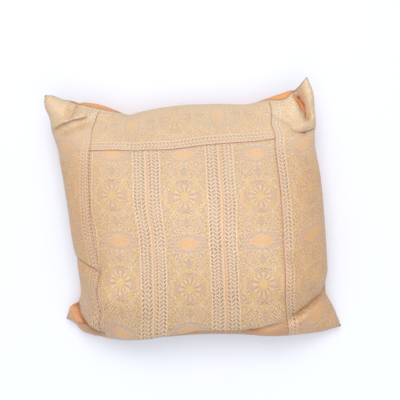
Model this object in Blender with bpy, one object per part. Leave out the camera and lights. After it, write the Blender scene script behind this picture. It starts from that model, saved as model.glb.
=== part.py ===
"""A square filled cushion lying on its back, face up.

The front cover is pieced from a centre panel, a top strip and two side strips, which lap over each other as
low steps. The back is one plain panel that rests flat. Both meet in a seam round the rim: it lies on the
outline's widest line in places, turns up to the front near the top corners and tucks under along the bottom.

The cover is a grid whose lines are even along the cloth. Across each line the section is an oval, swept from
one seam to the other, so that the two angles of a grid point give its place in plan and its height.
Metres, +Z up, +X to the right and +Y to the top of the front. Tables are in millimetres and degrees.
"""

import bmesh
import bpy
import numpy as np

MM = 0.001

# The cover laid flat, and the lapped edges of its strips, which run unevenly over it.
# share: how far up the cover, or across it for the top strip.
# place: distance from the cover's left side, or from its lower side for the top strip.
COVER_SIZE = 520
LAP_THICKNESS = 1.2
LAP_WIDTH = 2.0
LAP_COLUMNS = ("share", "place")
LAPS = {
    "left": [
        (0.00, 106),
        (0.23, 109),
        (0.27, 101),
        (0.31, 99),
        (0.36, 104),
        (0.42, 109),
        (0.47, 104),
        (0.52, 101.5),
        (0.66, 101),
        (0.79, 103),
        (0.86, 100),
        (0.92, 98),
        (1.00, 110),
    ],
    "right": [
        (0.00, 404),
        (0.27, 406),
        (0.40, 411),
        (0.55, 417),
        (0.65, 421),
        (0.75, 426),
        (0.88, 432),
        (1.00, 443),
    ],
    "top": [
        (0.00, 408),
        (0.20, 410),
        (0.34, 413.5),
        (0.40, 413),
        (0.48, 411),
        (0.60, 416.5),
        (0.72, 419.5),
        (0.80, 420.5),
        (1.00, 421),
    ],
}
# Where the laps stand in an even grid of the cover, before its lines are bent to follow them.
LAP_STOPS = (0.2, 0.8)

# Corner tips in plan.
CORNERS = {
    "bottom left": (-231, -199),
    "bottom right": (271, -213),
    "top left": (-264, 200),
    "top right": (203, 232),
}

# The outline of each side, from its first corner to its second.
# share: how far along the side. inset: how far inside the straight line between the corners.
# level: height of the widest line. turn: the seam's angle round the edge, up to the front or down (minus).
OUTLINE_COLUMNS = ("share", "inset", "level", "turn")
OUTLINES = {
    "left": [
        (0.000, 0, 20, 0),
        (0.034, 6, 20.5, 0),
        (0.056, 10.5, 23, 0),
        (0.070, 22, 26, 0),
        (0.090, 32, 30, 0),
        (0.130, 33.5, 40, -2),
        (0.200, 33, 53, -12),
        (0.340, 27, 60, -28),
        (0.500, 22, 60, -26),
        (0.690, 15, 60, -18),
        (0.780, 11, 60, -10),
        (0.830, 6, 64, 0),
        (0.900, 4, 74, 4),
        (0.955, -2, 84, 4),
        (1.000, 0, 88, 0),
    ],
    "right": [
        (0.000, 0, 14, 0),
        (0.080, 9, 20, 0),
        (0.140, 19, 32, 0),
        (0.175, 20, 46, -5),
        (0.235, 14, 56, -8),
        (0.300, 11, 60, -8),
        (0.470, 4, 62, -8),
        (0.600, 0, 62, -8),
        (0.780, -2, 64, -5),
        (0.815, -6, 68, -5),
        (0.870, -7, 76, 0),
        (0.935, -8, 88, 0),
        (1.000, 0, 96, 0),
    ],
    "bottom": [
        (0.000, 0, 20, 0),
        (0.034, -8.5, 20, 0),
        (0.056, -20, 21, -1),
        (0.090, -27, 23, -3),
        (0.140, -32, 30, -8),
        (0.230, -35, 46, -34),
        (0.320, -30, 56, -58),
        (0.460, -22, 58, -60),
        (0.630, -19, 58, -60),
        (0.750, -20, 56, -55),
        (0.858, -15, 38, -28),
        (0.940, -9, 20, -6),
        (1.000, 0, 14, 0),
    ],
    "top": [
        (0.000, 0, 88, 0),
        (0.030, 1, 86, 2),
        (0.065, 8, 80, 4),
        (0.105, 11, 74, 11),
        (0.207, 20, 64, 18),
        (0.266, 31, 58, 14),
        (0.306, 40, 55, 5),
        (0.354, 36, 54, 0),
        (0.494, 29, 54, -4),
        (0.660, 31, 55, -3),
        (0.800, 34, 58, 3),
        (0.847, 28, 62, 14),
        (0.915, 21, 74, 25),
        (0.967, 14, 88, 10),
        (1.000, 0, 96, 0),
    ],
}
MIDDLE_LEVEL = 58

# Each side's even curve inwards, which reaches well into the cover.
# What the outline has beyond that curve stays near the rim.
EVEN_INSET = {"left": 22, "right": 5, "bottom": -22, "top": 30}
EVEN_POWER = 2.5
RIM_POWER = 7
LEVEL_POWER = 5

# The oval that the cover's sections follow: half its width and half its height, across and up the cover.
OVAL_ACROSS = (228, 72)
OVAL_UP = (207, 66)

# Height of the face above the widest line, from the bottom to the top: the filling has sunk to the bottom.
CROWN_COLUMNS = ("share", "height")
CROWN = [
    (0.00, 84),
    (0.25, 88),
    (0.50, 84),
    (0.75, 68),
    (1.00, 52),
]
FULLNESS = 0.88

# The underside reaches below the widest line by these shares of its height, and is flat where it meets 0.
SEAM_DEPTH = 0.78
BACK_DEPTH = 1.9
BACK_TURN_IN = 0.22

# Folds of the face: a trough from a start to an end, or a ridge where the depth is less than nothing.
FOLD_COLUMNS = ("name", "start_x", "start_y", "end_x", "end_y", "half_width", "depth")
FOLDS = [
    ("top left pocket", -209, 196, -222, 164, 9, 15),
    ("top left ridge", -250, 143, -192, 165, 9, -9),
    ("below the ridge", -246, 126, -192, 148, 10, 9),
    ("top right pocket", 191, 212, 201, 163, 9, 26),
    ("top right crease, inner", 180, 145, 201, 136, 8, 9),
    ("top right crease, outer", 201, 136, 226, 147, 8, 10),
    ("bottom right trough", 243, -140, 180, -187, 12, 20),
    ("left side crease", -212, -84, -166, -114, 9, 6),
    ("bottom crease, left", -62, -232, 0, -219, 9, 7),
    ("bottom crease, middle", 0, -219, 103, -215, 9, 9),
    ("bottom crease, right", 103, -215, 168, -201, 9, 8),
    ("bottom left pocket, upper", -205, -166, -193, -196, 10, 20),
    ("bottom left pocket, lower", -193, -196, -162, -222, 11, 12),
]

# Rounded places where the filling pushes the face out.
BULGE_COLUMNS = ("name", "x", "y", "radius", "height")
BULGES = [
    ("over the bottom left ear", -158, -174, 52, 34),
    ("below the top right ear", 206, 158, 22, 8),
    ("below the top left ridge", -205, 110, 42, 7),
    ("above the bottom right trough", 180, -140, 46, 12),
]

# Grid cells across each stretch of the cover, closer together near the rim.
RIM_CELLS = 14
PANEL_CELLS = 16

# Steps and bulges start this far in from the rim, and the cushion is this thick where a fold presses it down.
RIM_SHARE = 0.03
BULGE_SHARE = 0.1
THINNEST = 5

# A seam's turn fades out over this share of the cover, and the cover lies evenly flat at its corners.
TURN_FADE = {"left": 0.3, "right": 0.3, "bottom": 0.45, "top": 0.2}
CORNER_FLATNESS = 8
SWEEP_SAMPLES = 400


def named(rows, columns, name):
    """One named column of a table, as an array."""
    return np.array([row[columns.index(name)] for row in rows], dtype=float)


def ease(value):
    value = np.clip(value, 0, 1)
    return value * value * (3 - 2 * value)


def smooth_curve(at, shares, values):
    """A curve through the values, with the slope at each the mean of its neighbours'."""
    slopes = np.gradient(values, shares)
    place = np.clip(np.searchsorted(shares, at, side="right") - 1, 0, len(shares) - 2)
    span = shares[place + 1] - shares[place]
    t = (at - shares[place]) / span
    return (
        values[place] * (1 + 2 * t) * (1 - t) ** 2
        + slopes[place] * span * t * (1 - t) ** 2
        + values[place + 1] * t**2 * (3 - 2 * t)
        - slopes[place + 1] * span * t**2 * (1 - t)
    )


def side_value(side, column, at):
    rows = OUTLINES[side]
    shares = named(rows, OUTLINE_COLUMNS, "share")
    return smooth_curve(at, shares, named(rows, OUTLINE_COLUMNS, column))


def sweep(shares, start_turn, end_turn, reach, rise):
    """Angles round an oval section at even shares of its length, from one seam to the other."""
    angles = np.linspace(start_turn, np.pi - end_turn, SWEEP_SAMPLES)
    speed = np.hypot(reach * np.sin(angles), rise * np.cos(angles))
    steps = 0.5 * (speed[1:] + speed[:-1])
    length = np.concatenate(([0], np.cumsum(steps)))
    return np.interp(shares, length / length[-1], angles)


def section_angles(across, along, first, last, reach, rise, face):
    """The section angle at each grid point. first and last are the sides that the section runs between."""
    first_turn = np.radians(side_value(first, "turn", along))
    last_turn = np.radians(side_value(last, "turn", along))
    first_middle, last_middle = (np.radians(side_value(side, "turn", 0.5)) for side in (first, last))
    angles = sweep(across, face * first_middle, face * last_middle, reach, rise)
    near_first = 1 - ease(across / TURN_FADE[first])
    near_last = 1 - ease((1 - across) / TURN_FADE[last])
    angles = angles + face * (first_turn - first_middle) * near_first
    angles = angles - face * (last_turn - last_middle) * near_last
    flat = np.arccos(1 - 2 * across)
    edge = np.abs(2 * along - 1) ** CORNER_FLATNESS
    return face * (angles * (1 - edge) + flat * edge)


def blend(p, q, sides, corners, power):
    """A value on the cover from its values along the four sides, each fading inwards."""
    near = {
        "left": (1 - p) ** power,
        "right": p**power,
        "bottom": (1 - q) ** power,
        "top": q**power,
    }
    total = sum(near[side] * value for side, value in sides.items())
    for (row, column), value in corners.items():
        total = total - near[row] * near[column] * value
    return total


def plan_place(p, q):
    """Where a point of the flat outline lies in plan, with the drawn-in sides."""
    corner = {name: np.array(place, dtype=float) for name, place in CORNERS.items()}
    place = (
        (1 - p)[..., None] * (1 - q)[..., None] * corner["bottom left"]
        + p[..., None] * (1 - q)[..., None] * corner["bottom right"]
        + (1 - p)[..., None] * q[..., None] * corner["top left"]
        + p[..., None] * q[..., None] * corner["top right"]
    )
    ends = {
        "left": ("bottom left", "top left", -1, q, 1 - p),
        "right": ("bottom right", "top right", 1, q, p),
        "bottom": ("bottom left", "bottom right", 1, p, 1 - q),
        "top": ("top left", "top right", -1, p, q),
    }
    for side, (start, end, turn, share, near) in ends.items():
        run = (corner[end] - corner[start]) / np.linalg.norm(corner[end] - corner[start])
        inward = turn * np.array((-run[1], run[0]))
        even = EVEN_INSET[side] * (1 - (2 * share - 1) ** 4)
        inset = even * near**EVEN_POWER + (side_value(side, "inset", share) - even) * near**RIM_POWER
        place = place + inset[..., None] * inward
    return place[..., 0], place[..., 1]


def level_place(p, q):
    """Height of the widest line, carried a little way in from the rim so that the ears rise or dip."""
    shares = {"left": q, "right": q, "bottom": p, "top": p}
    sides = {side: side_value(side, "level", at) - MIDDLE_LEVEL for side, at in shares.items()}
    zero = np.zeros_like(p)
    corners = {
        ("bottom", "left"): side_value("left", "level", zero) - MIDDLE_LEVEL,
        ("bottom", "right"): side_value("right", "level", zero) - MIDDLE_LEVEL,
        ("top", "left"): side_value("left", "level", zero + 1) - MIDDLE_LEVEL,
        ("top", "right"): side_value("right", "level", zero + 1) - MIDDLE_LEVEL,
    }
    return MIDDLE_LEVEL + blend(p, q, sides, corners, LEVEL_POWER)


def fold_heights(x, y):
    """Troughs and ridges at each plan place. In the thin ears both cloths follow them."""
    height = np.zeros_like(x)
    for row in FOLDS:
        fold = dict(zip(FOLD_COLUMNS, row))
        run = np.array((fold["end_x"] - fold["start_x"], fold["end_y"] - fold["start_y"]), dtype=float)
        length = np.linalg.norm(run)
        run /= length
        from_x, from_y = x - fold["start_x"], y - fold["start_y"]
        along = from_x * run[0] + from_y * run[1]
        beyond = np.maximum(0, np.maximum(-along, along - length))
        aside = from_x * run[1] - from_y * run[0]
        height -= fold["depth"] * np.exp(-(aside**2 + beyond**2) / fold["half_width"] ** 2)
    return height


def bulge_heights(x, y):
    height = np.zeros_like(x)
    for row in BULGES:
        bulge = dict(zip(BULGE_COLUMNS, row))
        away = (x - bulge["x"]) ** 2 + (y - bulge["y"]) ** 2
        height += bulge["height"] * np.exp(-away / bulge["radius"] ** 2)
    return height


def lap_share(lap, along):
    """Where a lapped edge crosses the cover, at a share of the way along it."""
    shares = named(LAPS[lap], LAP_COLUMNS, "share")
    return smooth_curve(along, shares, named(LAPS[lap], LAP_COLUMNS, "place")) / COVER_SIZE


def lap_heights(across, up):
    """Steps of the lapped strips: the top strip over the centre panel, and the side strips over both."""
    sides = (across < lap_share("left", up)) | (across > lap_share("right", up))
    return LAP_THICKNESS * (sides.astype(float) + (up > lap_share("top", across)))


def cover_points(across, up, face):
    """The places of a grid of cover points, given as shares of its width and height. face is 1 or -1."""
    x_angle = section_angles(across, up, "left", "right", *OVAL_ACROSS, face)
    y_angle = section_angles(up, across, "bottom", "top", *OVAL_UP, face)
    p = (1 - np.cos(x_angle)) / 2
    q = (1 - np.cos(y_angle)) / 2
    x, y = plan_place(p, q)
    level = level_place(p, q)
    swell = (np.abs(np.sin(x_angle)) * np.abs(np.sin(y_angle))) ** FULLNESS
    turned = (np.sin(x_angle) * face < 0) | (np.sin(y_angle) * face < 0)
    above = (face > 0) ^ turned
    crown = smooth_curve(q, named(CROWN, CROWN_COLUMNS, "share"), named(CROWN, CROWN_COLUMNS, "height"))
    rim = np.minimum(np.minimum(across, 1 - across), np.minimum(up, 1 - up))
    depth = SEAM_DEPTH + (BACK_DEPTH - SEAM_DEPTH) * ease(rim / BACK_TURN_IN) * (face < 0)
    z = np.where(above, level + crown * swell, level * (1 - depth * swell))
    z = z + fold_heights(x, y)
    if face > 0:
        z = z + lap_heights(across, up) * ease(rim / RIM_SHARE)
        z = z + bulge_heights(x, y) * ease(rim / BULGE_SHARE)
        z = np.maximum(z, THINNEST * ease(rim / RIM_SHARE))
    return x, y, np.maximum(z, 0)


def grid_lines(stops):
    """Even places from 0 to 1 with a close pair at each stop, and closer cells beside the rim."""
    half = LAP_WIDTH / 2 / COVER_SIZE
    ends = [0.0]
    for stop in stops:
        ends += [stop - half, stop + half]
    ends.append(1.0)
    lines = [0.0]
    for start, end in zip(ends, ends[1:]):
        beside_rim = start == 0 or end == 1
        cells = 1 if end - start < 3 * half else RIM_CELLS if beside_rim else PANEL_CELLS
        lines += list(np.linspace(start, end, cells + 1)[1:])
    return np.array(lines)


def cover_grid():
    """Shares of the cover's width and height where its grid lines cross, bent to follow the lapped edges."""
    low, high = LAP_STOPS
    base_across, base_up = np.meshgrid(grid_lines(LAP_STOPS), grid_lines(LAP_STOPS))
    left, right = lap_share("left", base_up), lap_share("right", base_up)
    left_strip = base_across * left / low
    centre = left + (base_across - low) * (right - left) / (high - low)
    right_strip = 1 - (1 - base_across) * (1 - right) / (1 - high)
    across = np.where(base_across > high, right_strip, centre)
    across = np.where(base_across < low, left_strip, across)
    top = lap_share("top", across)
    up = np.where(base_up > high, 1 - (1 - base_up) * (1 - top) / (1 - high), base_up * top / high)
    return across, up


def main():
    for old in list(bpy.data.objects):
        bpy.data.objects.remove(old, do_unlink=True)

    across, up = cover_grid()
    row_count, column_count = across.shape
    mesh = bpy.data.meshes.new("cushion")
    sheets = bmesh.new()
    for face in (1, -1):
        x, y, z = cover_points(across, up, face)
        made = bmesh.ops.create_grid(
            sheets,
            x_segments=column_count - 1,
            y_segments=row_count - 1,
            size=1,
        )
        for vertex in made["verts"]:
            column = round((vertex.co.x + 1) / 2 * (column_count - 1))
            row = round((vertex.co.y + 1) / 2 * (row_count - 1))
            vertex.co = (x[row, column] * MM, y[row, column] * MM, z[row, column] * MM)
    bmesh.ops.remove_doubles(sheets, verts=sheets.verts, dist=1e-6)
    places = np.array([vertex.co for vertex in sheets.verts])
    middle = (places.min(axis=0) + places.max(axis=0)) / 2
    bmesh.ops.translate(sheets, verts=sheets.verts, vec=(-middle[0], -middle[1], 0))
    bmesh.ops.recalc_face_normals(sheets, faces=sheets.faces)
    sheets.to_mesh(mesh)
    sheets.free()
    mesh.shade_smooth()

    material = bpy.data.materials.new("brocade")
    material.use_nodes = True
    shader = material.node_tree.nodes["Principled BSDF"]
    shader.inputs["Base Color"].default_value = (0.73, 0.5, 0.33, 1)
    shader.inputs["Roughness"].default_value = 0.6
    shader.inputs["Metallic"].default_value = 0
    mesh.materials.append(material)

    cushion = bpy.data.objects.new("cushion", mesh)
    collection = bpy.data.collections.new("decorative_cushion")
    bpy.context.scene.collection.children.link(collection)
    collection.objects.link(cushion)


main()
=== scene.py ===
import bpy
import bmesh
import math
import numpy as np
from mathutils import Matrix, Vector

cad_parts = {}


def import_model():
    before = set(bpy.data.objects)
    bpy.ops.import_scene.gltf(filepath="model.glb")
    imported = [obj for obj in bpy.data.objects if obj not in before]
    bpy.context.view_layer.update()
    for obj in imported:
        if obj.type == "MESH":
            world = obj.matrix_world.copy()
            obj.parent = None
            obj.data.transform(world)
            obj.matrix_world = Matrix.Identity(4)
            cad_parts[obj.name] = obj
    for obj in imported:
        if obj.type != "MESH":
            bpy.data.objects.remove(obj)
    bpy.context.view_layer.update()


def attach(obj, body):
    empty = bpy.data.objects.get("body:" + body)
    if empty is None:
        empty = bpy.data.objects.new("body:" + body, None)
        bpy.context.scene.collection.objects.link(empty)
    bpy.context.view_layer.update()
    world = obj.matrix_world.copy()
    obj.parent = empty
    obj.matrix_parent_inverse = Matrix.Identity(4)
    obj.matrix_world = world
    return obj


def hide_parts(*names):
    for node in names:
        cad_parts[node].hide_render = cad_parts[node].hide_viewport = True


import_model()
mm = 0.001

# The cover's form, in millimetres and degrees, with x to the right and y to the top of the front.
cover = {
    "size": 520,
    "middleLevel": 58,
    "fullness": 0.88,
    "seamDepth": 0.78,
    "backDepth": 1.9,
    "backTurnIn": 0.22,
    "thinnest": 5,
    "rimFade": 0.02,  # this and the next three are shares of the cover's size, in from the rim
    "thinFade": 0.03,
    "bulgeFade": 0.1,
    "nearRim": 0.12,
    "frontAboveBack": 2.0,
    "halfWidths": (228, 207),
    "halfHeights": (72, 66),
    "gridCells": {"left": 38, "middle": 118, "right": 38, "below": 152, "above": 38},
}
# Laps are the folded edges of the strips: share of the way up (or across), distance from the left (or below).
laps = {
    "left": [
        (0.00, 106), (0.23, 109), (0.27, 101), (0.31, 99), (0.36, 104), (0.42, 109), (0.47, 104),
        (0.52, 101.5), (0.66, 101), (0.79, 103), (0.86, 100), (0.92, 98), (1.00, 110),
    ],
    "right": [
        (0.00, 404), (0.27, 406), (0.40, 411), (0.55, 417), (0.65, 421), (0.75, 426), (0.88, 432),
        (1.00, 443),
    ],
    "top": [
        (0.00, 408), (0.20, 410), (0.34, 413.5), (0.40, 413), (0.48, 411), (0.60, 416.5), (0.72, 419.5),
        (0.80, 420.5), (1.00, 421),
    ],
}
corners = {
    "bottomLeft": (-231, -199),
    "bottomRight": (271, -213),
    "topLeft": (-264, 200),
    "topRight": (203, 232),
}
# Along each side: share, how far in from the straight line, height of the widest line, turn of the seam.
sides = {
    "left": [
        (0.000, 0, 20, 0), (0.034, 6, 20.5, 0), (0.056, 10.5, 23, 0), (0.070, 22, 26, 0),
        (0.090, 32, 30, 0), (0.130, 33.5, 40, -2), (0.200, 33, 53, -12), (0.340, 27, 60, -28),
        (0.500, 22, 60, -26), (0.690, 15, 60, -18), (0.780, 11, 60, -10), (0.830, 6, 64, 0),
        (0.900, 4, 74, 4), (0.955, -2, 84, 4), (1.000, 0, 88, 0),
    ],
    "right": [
        (0.000, 0, 14, 0), (0.080, 9, 20, 0), (0.140, 19, 32, 0), (0.175, 20, 46, -5),
        (0.235, 14, 56, -8), (0.300, 11, 60, -8), (0.470, 4, 62, -8), (0.600, 0, 62, -8),
        (0.780, -2, 64, -5), (0.815, -6, 68, -5), (0.870, -7, 76, 0), (0.935, -8, 88, 0),
        (1.000, 0, 96, 0),
    ],
    "bottom": [
        (0.000, 0, 20, 0), (0.034, -8.5, 20, 0), (0.056, -20, 21, -1), (0.090, -27, 23, -3),
        (0.140, -32, 30, -8), (0.230, -35, 46, -34), (0.320, -30, 56, -58), (0.460, -22, 58, -60),
        (0.630, -19, 58, -60), (0.750, -20, 56, -55), (0.858, -15, 38, -28), (0.940, -9, 20, -6),
        (1.000, 0, 14, 0),
    ],
    "top": [
        (0.000, 0, 88, 0), (0.030, 1, 86, 2), (0.065, 8, 80, 4), (0.105, 11, 74, 11),
        (0.207, 20, 64, 18), (0.266, 31, 58, 14), (0.306, 40, 55, 5), (0.354, 36, 54, 0),
        (0.494, 29, 54, -4), (0.660, 31, 55, -3), (0.800, 34, 58, 3), (0.847, 28, 62, 14),
        (0.915, 21, 74, 25), (0.967, 14, 88, 10), (1.000, 0, 96, 0),
    ],
}
# How far in the turn of each side's seam reaches, as a share of the cover.
turnFade = {"left": 0.3, "right": 0.3, "bottom": 0.45, "top": 0.2}
# Each side's even curve inwards reaches well into the cover. The rest of its outline stays near the rim.
evenInset = {"left": 22, "right": 5, "bottom": -22, "top": 30}
# Height of the face above the widest line, from the bottom to the top.
crown = [(0.00, 84), (0.25, 88), (0.50, 84), (0.75, 68), (1.00, 52)]
# Folds: from x, y to x, y, half width, depth. A ridge has a depth below nothing.
folds = {
    "topLeftPocket": (-206, 190, -219, 164, 7, 13),
    "topLeftRidge": (-250, 145, -190, 166, 8, -7),
    "belowTheRidge": (-246, 130, -192, 150, 9, 5),
    "topRightPocket": (186, 212, 203, 163, 7, 26),
    "topRightCreaseInner": (180, 137, 199, 134, 5, 4),
    "topRightCreaseOuter": (199, 134, 219, 145, 5, 5),
    "bottomRightTrough": (243, -140, 180, -187, 12, 20),
    "leftSideCrease": (-212, -84, -166, -114, 9, 6),
    "bottomCreaseLeft": (-62, -232, 0, -219, 9, 7),
    "bottomCreaseMiddle": (0, -219, 103, -215, 9, 9),
    "bottomCreaseRight": (103, -215, 168, -201, 9, 8),
    "bottomLeftPocketUpper": (-205, -166, -193, -196, 10, 20),
    "bottomLeftPocketLower": (-193, -196, -162, -222, 11, 12),
}
# Places where the filling pushes the face out: x, y, radius, height.
bulges = {
    "overTheBottomLeftEar": (-158, -174, 52, 34),
    "belowTheTopRightEar": (206, 158, 22, 8),
    "belowTheTopLeftRidge": (-205, 110, 42, 7),
    "aboveTheBottomRightTrough": (180, -140, 46, 12),
}
# Places where the cloth rolls over itself. The cloth on the left of each run of points lies over the other.
# over: how far it reaches over, reach: how far back it is moved, rise and sink: heights of the two sides,
# shadeAt and shadeWide: where the shade in the crease lies, fadesBelow: the height under which it ends.
creases = {
    "overBottomLeftEar": {
        "run": [
            (-204, -145), (-202, -168), (-199, -184), (-193, -198), (-180, -208), (-166, -216), (-152, -224),
        ],
        "over": 6, "reach": 13, "rise": 3, "sink": 12, "shade": 1.0, "shadeAt": 9, "shadeWide": 7,
    },
    "topRightV": {
        "run": [(176, 141), (181, 136), (187, 134), (198, 135), (209, 139), (222, 146)],
        "over": 2.5, "reach": 7, "rise": 1.5, "sink": 3, "shade": 0.9,
    },
    "topRightPocket": {
        "run": [(204, 154), (203, 163), (199, 181), (192, 198), (180, 210)],
        "over": 2.5, "reach": 7, "rise": 1, "sink": 4, "shade": 0.8,
    },
    "leftSide": {
        "run": [(-212, -80), (-194, -94), (-178, -104), (-158, -113)],
        "over": 2.5, "reach": 8, "rise": 2, "sink": 3, "shade": 0.8,
    },
    "bottomRoll": {
        "run": [(-130, -240), (-75, -231), (-23, -222), (13, -216), (66, -216), (102, -213), (172, -200)],
        "over": 4, "reach": 10, "rise": 2, "sink": 6, "shade": 1.0, "shadeWide": 2.6, "fadesBelow": 52,
    },
    "overBottomRightEar": {
        "run": [(172, -192), (184, -184), (213, -162), (240, -144)],
        "over": 4, "reach": 10, "rise": 2, "sink": 7, "shade": 0.9,
    },
    "topLeftRoll": {
        "run": [(-252, 138), (-232, 147), (-213, 154), (-184, 161)],
        "over": 2.5, "reach": 7, "rise": 2, "sink": 3, "shade": 0.7,
    },
    "topLeftFold": {
        "run": [(-221, 157), (-216, 166), (-206, 190)],
        "over": 2.5, "reach": 6, "rise": 1, "sink": 3, "shade": 0.8,
    },
}
usualCrease = {"shadeAt": 1.5, "shadeWide": 2.0, "fadesBelow": -20, "fadeOver": 12, "halfTurn": 2.5}
# Where the back cloth has rolled round to the front: places on the flat cover, from its bottom left corner.
turnedBack = {
    "bottomLeftEar": [
        (-6, 18), (4, 25), (18, 34), (26, 37), (28, 21), (33, 23), (40, 42), (51, 71), (66, 94),
        (66, 98), (60, 100), (54, 101.5), (48, 101), (38, 99), (20, 99), (-6, 104),
    ],
    "topRightPocket": [
        (483, 516), (489, 516), (494, 502), (497.5, 482), (496, 456), (492.5, 460), (491, 480), (487, 500),
    ],
}
# The roll of cloth below the fold along the bottom, where shade is painted on the cloth.
paintedRollShadeArea = [
    (200, -10), (204, 119), (223, 123), (253, 128.5), (269, 131), (315, 131.7), (338, 133.5), (362, 138.5),
    (402, 141.3), (410, -10),
]
# A lapped edge from the upper strip to the lower one: distance from the edge, sideways push, height.
lapProfile = [
    (4.0, 0.0, 1.10), (1.6, 0.0, 1.25), (0.5, -0.45, 1.15), (0.0, -0.85, 0.70),
    (-0.3, 0.10, -0.05), (-1.3, 0.0, -0.60), (-3.2, 0.0, 0.0),
]
# Where the lapped edges stand on the plain grid of the cover.
lapLines = (0.2, 0.8)


def ease(value):
    value = np.clip(value, 0, 1)
    return value * value * (3 - 2 * value)


def past(value, start, over):
    return ease((value - start) / over)


def before(value, start, over):
    return ease((start - value) / over)


def around(value, middle, width):
    return np.exp(-(((value - middle) / width) ** 2))


def addObject(name, data):
    made = bpy.data.objects.new(name, data)
    bpy.context.scene.collection.objects.link(made)
    return made


def smoothCurve(at, shares, values):
    slopes = np.gradient(values, shares)
    place = np.clip(np.searchsorted(shares, at, side="right") - 1, 0, len(shares) - 2)
    span = shares[place + 1] - shares[place]
    t = (at - shares[place]) / span
    return (
        values[place] * (1 + 2 * t) * (1 - t) ** 2
        + slopes[place] * span * t * (1 - t) ** 2
        + values[place + 1] * t**2 * (3 - 2 * t)
        - slopes[place + 1] * span * t**2 * (1 - t)
    )


def sideValue(side, column, at):
    rows = np.array(sides[side], dtype=float)
    return smoothCurve(at, rows[:, 0], rows[:, ("share", "inset", "level", "turn").index(column)])


def sweepAngles(shares, startTurn, endTurn, reach, rise):
    angles = np.linspace(startTurn, np.pi - endTurn, 400)
    speed = np.hypot(reach * np.sin(angles), rise * np.cos(angles))
    length = np.concatenate(([0], np.cumsum(0.5 * (speed[1:] + speed[:-1]))))
    return np.interp(shares, length / length[-1], angles)


def sectionAngles(across, along, first, last, reach, rise, face):
    firstTurn = np.radians(sideValue(first, "turn", along))
    lastTurn = np.radians(sideValue(last, "turn", along))
    firstMiddle, lastMiddle = (np.radians(sideValue(side, "turn", 0.5)) for side in (first, last))
    angles = sweepAngles(across, face * firstMiddle, face * lastMiddle, reach, rise)
    angles = angles + face * (firstTurn - firstMiddle) * (1 - ease(across / turnFade[first]))
    angles = angles - face * (lastTurn - lastMiddle) * (1 - ease((1 - across) / turnFade[last]))
    flat = np.arccos(1 - 2 * across)
    edge = np.abs(2 * along - 1) ** 8
    return face * (angles * (1 - edge) + flat * edge)


def planPlace(p, q):
    corner = {name: np.array(place, dtype=float) for name, place in corners.items()}
    place = (
        (1 - p)[..., None] * (1 - q)[..., None] * corner["bottomLeft"]
        + p[..., None] * (1 - q)[..., None] * corner["bottomRight"]
        + (1 - p)[..., None] * q[..., None] * corner["topLeft"]
        + p[..., None] * q[..., None] * corner["topRight"]
    )
    ends = {
        "left": ("bottomLeft", "topLeft", -1, q, 1 - p),
        "right": ("bottomRight", "topRight", 1, q, p),
        "bottom": ("bottomLeft", "bottomRight", 1, p, 1 - q),
        "top": ("topLeft", "topRight", -1, p, q),
    }
    for side, (start, end, turn, share, near) in ends.items():
        run = (corner[end] - corner[start]) / np.linalg.norm(corner[end] - corner[start])
        inward = turn * np.array((-run[1], run[0]))
        even = evenInset[side] * (1 - (2 * share - 1) ** 4)
        inset = even * near**2.5 + (sideValue(side, "inset", share) - even) * near**7
        place = place + inset[..., None] * inward
    return place[..., 0], place[..., 1]


def levelPlace(p, q):
    middle = cover["middleLevel"]
    near = {"left": (1 - p) ** 5, "right": p**5, "bottom": (1 - q) ** 5, "top": q**5}
    shares = {"left": q, "right": q, "bottom": p, "top": p}
    total = middle + sum(near[side] * (sideValue(side, "level", shares[side]) - middle) for side in near)
    for row, end in (("bottom", 0), ("top", 1)):
        for column in ("left", "right"):
            total = total - near[row] * near[column] * (sideValue(column, "level", end + 0 * p) - middle)
    return total


def foldHeights(x, y):
    height = np.zeros_like(x)
    for x0, y0, x1, y1, halfWidth, depth in folds.values():
        run = np.array((x1 - x0, y1 - y0), dtype=float)
        length = np.linalg.norm(run)
        run /= length
        along = (x - x0) * run[0] + (y - y0) * run[1]
        beyond = np.maximum(0, np.maximum(-along, along - length))
        aside = (x - x0) * run[1] - (y - y0) * run[0]
        height -= depth * np.exp(-(aside**2 + beyond**2) / halfWidth**2)
    return height


def runFrame(x, y, run):
    # Signed distance from a run of points (above nothing on its left), the way to its right,
    # and its fading ends.
    best = np.full(x.shape, 1e9)
    aside, rightX, rightY, fade = (np.zeros_like(x) for _ in range(4))
    lengths = [math.dist(a, b) for a, b in zip(run, run[1:])]
    done, total = 0.0, sum(lengths)
    for (x0, y0), (x1, y1), length in zip(run, run[1:], lengths):
        dx, dy = (x1 - x0) / length, (y1 - y0) / length
        along = (x - x0) * dx + (y - y0) * dy
        held = np.clip(along, 0, length)
        away = np.hypot(x - x0 - held * dx, y - y0 - held * dy)
        left = dx * (y - y0) - dy * (x - x0)
        at = (done + along) / total
        nearer = away < best
        best = np.where(nearer, away, best)
        aside = np.where(nearer, np.where(left < 0, -away, away), aside)
        rightX, rightY = np.where(nearer, dy, rightX), np.where(nearer, -dx, rightY)
        fade = np.where(nearer, ease(np.minimum(at, 1 - at) * 5), fade)
        done += length
    return aside, rightX, rightY, fade


def rollOver(points, rim):
    # Moves the cloth into its creases and returns where and how strongly shade is painted in each crease.
    creaseShadeMask = np.zeros(points.shape[:2])
    for given in creases.values():
        crease = {**usualCrease, **given}
        aside, rightX, rightY, fade = runFrame(points[..., 0], points[..., 1], crease["run"])
        fade = fade * ease(rim / cover["rimFade"])
        fade = fade * past(points[..., 2], crease["fadesBelow"], crease["fadeOver"])
        near = around(aside, 0, crease["reach"])
        side = 2 * past(aside, -crease["halfTurn"], 2 * crease["halfTurn"]) - 1
        push = crease["over"] * side * near * fade
        points[..., 0] += push * rightX
        points[..., 1] += push * rightY
        points[..., 2] += np.where(side > 0, crease["rise"] * side, crease["sink"] * side) * near * fade
        shade = around(aside, -crease["shadeAt"], crease["shadeWide"])
        creaseShadeMask = np.maximum(creaseShadeMask, shade * fade * crease["shade"])
    return creaseShadeMask


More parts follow.
